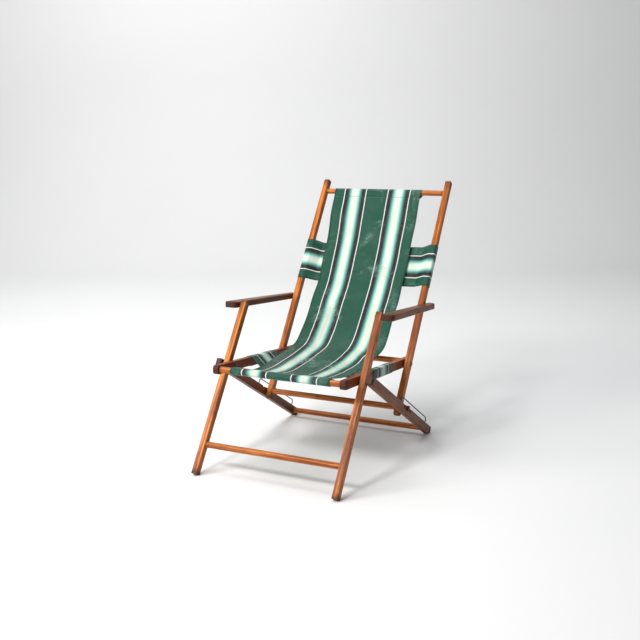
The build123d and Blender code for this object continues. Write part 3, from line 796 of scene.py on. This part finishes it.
def smooth_curve(points, start_slope, end_slope, count):
    """A cubic spline through points, with given directions at its two ends.

    Between two points the curve is the Hermite cubic of their places and slopes. The
    slopes solve the tridiagonal system that makes the second derivative continuous.
    """
    points = np.array(points)
    gaps = np.linalg.norm(np.diff(points, axis=0), axis=1)
    size = len(points)
    system, right_side = np.zeros((size, size)), np.zeros((size, 2))
    system[0, 0] = system[-1, -1] = 1
    right_side[0], right_side[-1] = start_slope, end_slope
    inner = np.arange(1, size - 1)
    system[inner, inner - 1] = gaps[1:]
    system[inner, inner] = 2 * (gaps[:-1] + gaps[1:])
    system[inner, inner + 1] = gaps[:-1]
    slopes_between = np.diff(points, axis=0) / gaps[:, None]
    right_side[1:-1] = 3 * (gaps[1:, None] * slopes_between[:-1]
                            + gaps[:-1, None] * slopes_between[1:])
    slopes = np.linalg.solve(system, right_side)
    knots = np.concatenate([[0], np.cumsum(gaps)])
    place = np.linspace(0, knots[-1], count)
    k = np.clip(np.searchsorted(knots, place, side="right") - 1, 0, size - 2)
    t = ((place - knots[k]) / gaps[k])[:, None]
    g = gaps[k][:, None]
    return ((2 * t**3 - 3 * t**2 + 1) * points[k] + (t**3 - 2 * t**2 + t) * g * slopes[k]
            + (3 * t**2 - 2 * t**3) * points[k + 1] + (t**3 - t**2) * g * slopes[k + 1])


def arc(centre, radius, start, end, count):
    """Points on a circle from one angle to another, in the side view."""
    angle = np.linspace(start, end, count)
    return centre + radius * np.stack([np.cos(angle), np.sin(angle)], 1)


def even_steps(path, spacing):
    """The same path with points at even distances along it, and those distances."""
    reach = np.concatenate([[0], np.cumsum(np.linalg.norm(np.diff(path, axis=0), axis=1))])
    place = np.linspace(0, reach[-1], int(round(reach[-1] / spacing)) + 1)
    columns = [np.interp(place, reach, path[:, i]) for i in range(path.shape[1])]
    return np.stack(columns, 1), place


def angle_of(vector):
    """The direction of a side-view vector, as an angle from +Y towards +Z."""
    return math.atan2(vector[1], vector[0])


# %% The sling's course
CLOTH = 0.0012
DOWEL_RADIUS = (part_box("top_dowel")[1].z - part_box("top_dowel")[0].z) / 2
SLEEVE = DOWEL_RADIUS + 0.0004 + CLOTH / 2
SEAM = 0.027
course = smooth_curve(
    [on_post(0, SLEEVE), on_post(0.219, -0.005), on_post(0.301, -0.0065),
     on_post(0.382, -0.004), on_post(0.471, 0.008), on_post(0.555, 0.020),
     on_post(0.627, 0.037), on_post(0.667, 0.060), on_rail(0.413, 0.034),
     on_rail(0.368, 0.022), on_rail(0.298, 0.007), on_rail(0.243, -0.001),
     on_rail(0.193, -0.0065), on_rail(0.143, -0.008), on_rail(0.093, -0.005),
     on_rail(0, SLEEVE)], -up_post, -along_rail, 1200)


def tangent_angle(centre, point, radius, turn_way):
    """Angle at which a line from the point touches the circle, on the side given by turn_way.

    The touching radius makes acos(radius / distance) with the line from centre to point.
    """
    gap = point - centre
    return angle_of(gap) + turn_way * math.acos(radius / np.linalg.norm(gap))


top_seam = on_post(SEAM, SLEEVE - 0.0045)
front_seam = on_rail(SEAM, SLEEVE - 0.0045)
top_touch = tangent_angle(top_dowel, top_seam, SLEEVE, 1)
top_leave = angle_of(front_of_post)
front_arrive = angle_of(above_rail)
front_touch = tangent_angle(front_dowel, front_seam, SLEEVE, -1)
while top_touch > top_leave:
    top_touch -= 2 * math.pi
while front_touch < front_arrive:
    front_touch += 2 * math.pi
top_loop = arc(top_dowel, SLEEVE, top_touch, top_leave, 60)
front_loop = arc(front_dowel, SLEEVE, front_arrive, front_touch, 60)
sling_path, sling_reach = even_steps(np.concatenate(
    [[top_seam], top_loop, course[1:-1], front_loop, [front_seam]]), 0.0042)
loop_length = float(np.linalg.norm(top_seam - top_loop[0]) + SLEEVE * abs(top_leave - top_touch))
sling_length = float(sling_reach[-1])
main_start, main_end = loop_length, sling_length - loop_length
print("sling", round(sling_length, 3), "m long; sleeves take", round(loop_length, 3), "m each")

# %% [markdown]
# ### Width, tilt and folds
#
# The cloth narrows where it is pulled longest and lies a little to one side at the top. Its
# seat dips lower on one side. Folds are ridges: each has a place, a direction, a length and
# a height, and falls away from its line as a bell curve does.

# %% The sling's surface
ACROSS_COUNT = 66


def folds(across, along, count, seed, longest, tallest):
    """Sum of ridges height * exp(-(off / width)^2 - (run / length)^2).

    off and run are the distances square to the ridge's line and along it.
    """
    chance = np.random.default_rng(seed)
    total = np.zeros(across.shape)
    x = chance.uniform(0, across.max(), count)
    y = chance.uniform(0.02, along.max() - 0.02, count)
    angle = chance.uniform(-1.1, 1.1, count)
    length = chance.uniform(0.35, 1, count) * longest
    width = chance.uniform(0.006, 0.014, count)
    height = chance.uniform(-1, 1, count) * tallest
    for i in range(count):
        off = (across - x[i]) * np.sin(angle[i]) - (along - y[i]) * np.cos(angle[i])
        run = (across - x[i]) * np.cos(angle[i]) + (along - y[i]) * np.sin(angle[i])
        total += height[i] * np.exp(-(off / width[i])**2 - (run / length[i])**2)
    return total


def swell(across, along, seed):
    """Slow waves of the cloth: a sum of six sines in random directions."""
    chance = np.random.default_rng(seed)
    total = np.zeros(across.shape)
    for _ in range(6):
        direction, phase = chance.uniform(0, math.pi), chance.uniform(0, 2 * math.pi)
        wave = 2 * math.pi / chance.uniform(0.09, 0.22)
        run = across * math.cos(direction) + along * math.sin(direction)
        total += np.sin(wave * run + phase)
    return total / 6


def side_normals(path):
    """Unit normals of a side-view path, on the side that the sitter touches."""
    slope = np.gradient(path, axis=0)
    slope /= np.linalg.norm(slope, axis=1)[:, None]
    return np.stack([slope[:, 1], -slope[:, 0]], 1)


down = np.clip(sling_reach - main_start, 0, main_end - main_start)
main_length = main_end - main_start
width = np.interp(down, [0, 0.211, 0.402, 0.65, 0.95, main_length],
                  [0.357, 0.346, 0.341, 0.341, 0.346, 0.353])
middle = np.interp(down, [0, 0.211, 0.402, 0.65, 0.95, main_length],
                   [-0.0227, -0.015, -0.009, -0.004, -0.003, 0.0026])
tilt = 0.015 * np.exp(-((down - (main_length - 0.15)) / 0.08)**2)
share = np.linspace(0, 1, ACROSS_COUNT)
flat_across, flat_along = np.meshgrid(share * CLOTH_WIDTH, sling_reach)
free = (np.clip((sling_reach - main_start) / 0.08, 0, 1)
        * np.clip((main_end - sling_reach) / 0.06, 0, 1))[:, None]
edge_free = 0.35 + 0.65 * np.minimum(share, 1 - share)[None, :] * 2
FOLD_HEIGHT, SWELL_HEIGHT, EDGE_CURL = 0.0019, 0.0035, 0.0011
BACKWARD_SHARE = 0.3
HOLLOW = 0.003
SEAM_DIP, SEAM_REACH = 0.0007, 0.0035
move = free * (folds(flat_across, flat_along, 90, 7, 0.075, FOLD_HEIGHT)
               + SWELL_HEIGHT * swell(flat_across, flat_along, 11)
               + EDGE_CURL * np.sin(flat_along * 2 * math.pi / 0.13) * (1 - edge_free))
# Behind the sling the bands are in the way, so backward moves are small.
move = np.where(move < 0, BACKWARD_SHARE * move, move)
move = move + tilt[:, None] * (share[None, :] - 0.5)
move = move - free * HOLLOW * (1 - (2 * share[None, :] - 1)**2)
for seam_place in (main_start + SEAM, main_end - SEAM):
    move = move - SEAM_DIP * np.exp(-((flat_along - seam_place) / SEAM_REACH)**2)
sling_normals = side_normals(sling_path)
sling_points = np.zeros((*flat_across.shape, 3))
edge_wave = 0.0012 * np.sin(sling_reach * 2 * math.pi / 0.17 + 1)
sling_points[..., 0] = (middle[:, None] + (share[None, :] - 0.5) * width[:, None]
                        + edge_wave[:, None] * (2 * share[None, :] - 1)**3)
sling_points[..., 1:] = sling_path[:, None, :] + sling_normals[:, None, :] * move[..., None]
sling = surface("canvas_sling", sling_points, np.stack([flat_across, flat_along], -1))
print("sling grid", flat_across.shape)

# %% Thickness for cloth


def thicken(piece, thickness):
    """Solidify both ways from the grid, so that the cloth has edges."""
    wall = piece.modifiers.new("thickness", "SOLIDIFY")
    wall.thickness, wall.offset, wall.use_even_offset = thickness, 0, False
    return piece


thicken(sling, CLOTH)
sling.data.materials.append(canvas_material(
    "sling canvas", 0.2475 * CLOTH_WIDTH, 0.7525 * CLOTH_WIDTH,
    seams_along=(main_start + SEAM, main_end - SEAM),
    seams_across=(0.004, CLOTH_WIDTH - 0.004), stain=1.0, seed=0.3))
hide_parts("sling")
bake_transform(sling)

# %% [markdown]
# ## The bands
#
# Behind the sitter's back and under the seat, a short width of the same canvas is drawn
# across the frame. Each band is sewn round both of its sticks, lies on their faces and
# slopes down to pass behind the sling. Seen across, a band is one path: round a stick, over
# to the other side, and round the other stick. The path has softly rounded corners, and the
# cloth is that path carried along the sticks.

# %% Paths for the bands


def rounded(corners, radius, count=7):
    """A path through corners with each inner one replaced by a quadratic curve.

    The curve runs from radius before the corner to radius after it, pulled to the corner:
    (1 - t)^2 * before + 2 t (1 - t) * corner + t^2 * after.
    """
    corners = np.array(corners, float)
    into = corners[1:-1] - corners[:-2]
    out = corners[2:] - corners[1:-1]
    into_length = np.linalg.norm(into, axis=1, keepdims=True)
    out_length = np.linalg.norm(out, axis=1, keepdims=True)
    cut = np.minimum(radius, np.minimum(into_length, out_length) * 0.45)
    before = corners[1:-1] - into / into_length * cut
    after = corners[1:-1] + out / out_length * cut
    t = np.linspace(0, 1, count)[None, :, None]
    curves = ((1 - t)**2 * before[:, None] + 2 * t * (1 - t) * corners[1:-1, None]
              + t**2 * after[:, None])
    return np.concatenate([corners[:1], curves.reshape(-1, 2), corners[-1:]])


def band_path(stick, half_width, half_depth, low, slope_run):
    """(x, lay) across the chair: round one stick, sloping to the low level, and mirrored.

    Lay is the distance ahead of the post's middle, or above the rail's.
    """
    grow = 0.0004 + CLOTH / 2
    inner, outer = stick - half_width - grow, stick + half_width + grow
    face = half_depth + grow
    half = [(-inner - 0.004, -face - 0.0006), (-outer, -face), (-outer, face), (-inner, face),
            (-(inner - slope_run), low)]
    other = [(-x, lay) for x, lay in half[::-1]]
    return rounded(half + other, 0.0032)


def measured(node, direction):
    """Half of a node's size along a direction, and its middle along it."""
    low, high = extent_along(node, direction)
    return (high - low) / 2, (high + low) / 2


post_half, post_x = measured("left_back_post", CROSSWISE)
post_depth, _ = measured("left_back_post", (0.0, *front_of_post))
rail_half, rail_x = measured("left_seat_rail", CROSSWISE)
rail_depth, _ = measured("left_seat_rail", (0.0, *above_rail))
print("post", round(post_half * 2, 4), round(post_depth * 2, 4),
      "rail", round(rail_half * 2, 4), round(rail_depth * 2, 4))

# %% Make a band
BAND_WIDTH = 0.163
BAND_COUNT = 34


def make_band(name, cad_node, path, origin, along, outward, seed, body):
    """A band: its path across the chair, carried a band's width along its sticks."""
    path, reach = even_steps(path, 0.004)
    length = float(reach[-1])
    run = np.linspace(0, 1, BAND_COUNT)
    flat_along, flat_across = np.meshgrid(reach, run * BAND_WIDTH, indexing="ij")
    x = np.broadcast_to(path[:, :1], flat_along.shape)
    stick_x = post_x if cad_node == "back_band" else rail_x
    open_cloth = np.clip((stick_x - 0.016 - np.abs(x)) / 0.03, 0, 1)
    pucker = np.exp(-((stick_x - 0.03 - np.abs(x)) / 0.03)**2)
    lay = path[:, 1:] + open_cloth * (
        folds(flat_across, flat_along, 14, seed, 0.05, 0.0008)
        + 0.0009 * swell(flat_across, flat_along, seed + 1)) + (
        pucker * open_cloth * 0.0010 * np.sin(run[None, :] * 2 * math.pi * 3 + np.sign(x)))
    waist = 0.0016 * open_cloth * (1 - 2 * run[None, :])
    place = flat_across + waist + 0.0006 * np.sin(flat_along * 60 + seed)
    points = np.zeros((*flat_along.shape, 3))
    points[..., 0] = x
    points[..., 1:] = (origin + place[..., None] * along + lay[..., None] * outward)
    band = surface(name, points, np.stack([flat_across, flat_along], -1))
    thicken(band, CLOTH)
    band.data.materials.append(canvas_material(
        name.replace("_", " ") + " canvas", BAND_WIDTH / 2, BAND_WIDTH / 2,
        seams_along=(0.006, length - 0.006), seams_across=(0.0035, BAND_WIDTH - 0.0035),
        seed=seed))
    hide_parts(cad_node)
    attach(band, body)
    print(name, "flat", round(BAND_WIDTH, 3), "by", round(length, 3))
    return band


BAND_SLOPE = 0.036
BACK_BAND_LAY, BACK_BAND_FOOT = -0.0125, 0.382
SEAT_BAND_LAY, SEAT_BAND_START = -0.0175, 0.195
make_band("canvas_back_band", "back_band",
          band_path(post_x, post_half, post_depth, BACK_BAND_LAY, BAND_SLOPE),
          on_post(BACK_BAND_FOOT, 0), up_post, front_of_post, 21,
          "back_frame")
make_band("canvas_seat_band", "seat_band",
          band_path(rail_x, rail_half, rail_depth, SEAT_BAND_LAY, BAND_SLOPE),
          on_rail(SEAT_BAND_START, 0), along_rail, above_rail, 31,
          "seat_frame")

# %% [markdown]
# ## Floor finish
#
# The studio sweep is matt pale paint with the faintest unevenness, so that shadows fall
# softly and nothing shines behind the chair.

# %% Studio paint
studio_paint, tree, shader = start_material("studio paint")
point = put(tree, "ShaderNodeTexCoord").outputs["Object"]
mottle = put(tree, "ShaderNodeTexNoise", Vector=point, Scale=0.9, Detail=3.0).outputs["Fac"]
finish_material(tree, shader,
                blend_colours(tree, mottle, linear(228, 228, 228), linear(233, 233, 232)))
shader.inputs["Roughness"].default_value = 0.8
studio.data.materials.append(studio_paint)
